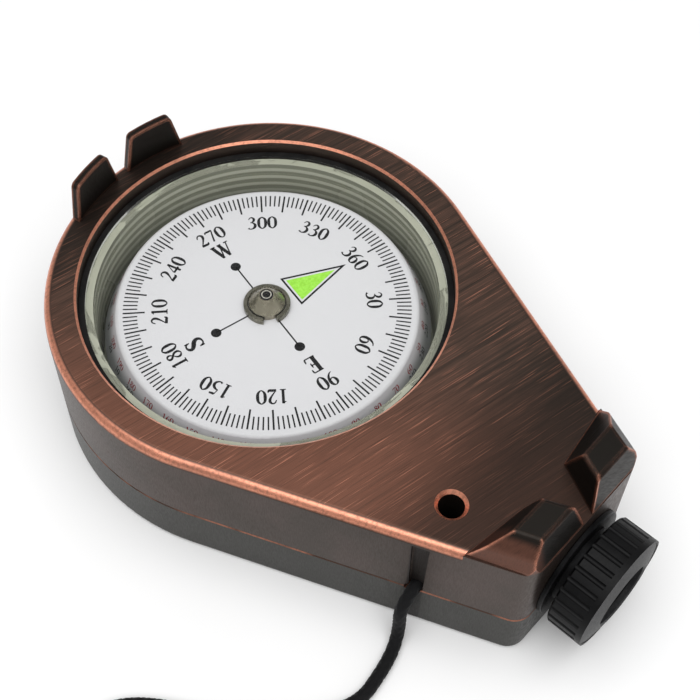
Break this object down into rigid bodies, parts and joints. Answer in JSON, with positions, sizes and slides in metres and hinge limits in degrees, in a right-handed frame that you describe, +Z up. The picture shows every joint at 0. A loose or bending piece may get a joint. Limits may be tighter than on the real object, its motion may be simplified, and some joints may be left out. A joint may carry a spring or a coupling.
{
  "type": "sighting compass",
  "caption": "Teardrop metal sighting compass with a liquid dial capsule under a round window, notched front and rear sights, a knurled focusing eyepiece and a braided lanyard.",
  "frame": {"origin": "point of the flat base on the dial's pivot axis", "axes": "+Z up through the dial, +Y along the line of sight from the eyepiece to the front sight, +X to the right"},
  "size_m": [0.1116, 0.0993, 0.0306],
  "materials": {
    "antique_copper": "plated die casting, antique copper, brushed on the top face",
    "black_rubber": "matt",
    "blackened_steel": "blackened",
    "clear_crystal": "polished",
    "olive_capsule": "translucent olive",
    "hub_brass": "nickel over brass, polished",
    "pivot_steel": "polished",
    "black_anodised": "black anodised",
    "lens_glass": "polished",
    "black_plastic": "fine matt",
    "black_cord": "braided",
    "dial_white": "printed card",
    "magnet_iron": "sintered",
    "jewel_glass": "polished",
    "clip_nickel": "nickel",
    "satin_grey": "satin"
  },
  "bodies": {
    "case": {"top_shell": "antique_copper", "bottom_shell": "antique_copper", "case_seal": "black_rubber", "case_screws": "blackened_steel", "window_gasket": "black_rubber", "crystal": "clear_crystal", "capsule_cup": "olive_capsule", "capsule_ring": "olive_capsule", "capsule_cushion": "black_rubber", "expansion_diaphragm": "black_rubber", "fill_plug": "hub_brass", "lubber_line": "black_plastic", "pivot_base": "hub_brass", "pivot_pin": "pivot_steel", "lens_tube": "black_anodised", "tube_nut": "black_anodised", "field_lens": "lens_glass", "light_mask": "black_plastic", "nose_seal": "black_rubber", "lanyard_knot": "black_cord", "lanyard_cord": "black_cord", "lanyard_coil": "black_cord", "lanyard_tie": "black_cord", "lanyard_end": "black_cord"},
    "dial": {"dial_card": "dial_white", "card_magnet": "magnet_iron", "jewel_cup": "hub_brass", "jewel": "jewel_glass", "hub_nut": "hub_brass", "balance_clip": "clip_nickel"},
    "lens_carrier": {"lens_barrel": "black_anodised", "eye_lens": "lens_glass", "lens_retainer": "black_anodised", "guide_key": "pivot_steel"},
    "focus_knob": {"eyepiece_knob": "black_plastic", "knob_face": "satin_grey"}
  },
  "joints": [
    {"name": "dial_turn", "type": "hinge", "parent": "case", "child": "dial", "pos_m": [0, 0, 0.0186], "axis": [0, 0, 1], "continuous": true},
    {"name": "lens_focus", "type": "slide", "parent": "case", "child": "lens_carrier", "axis": [0, -1, 0], "range_m": [-0.0006, 0.0016]},
    {"name": "knob_turn", "type": "hinge", "parent": "lens_carrier", "child": "focus_knob", "pos_m": [0, -0.063, 0.01215], "axis": [0, -1, 0], "range_deg": [-55, 145.5]}
  ],
  "couplings": [
    {"joint": "knob_turn", "follows": "lens_focus", "rad_per_m": 1570.8}
  ]
}
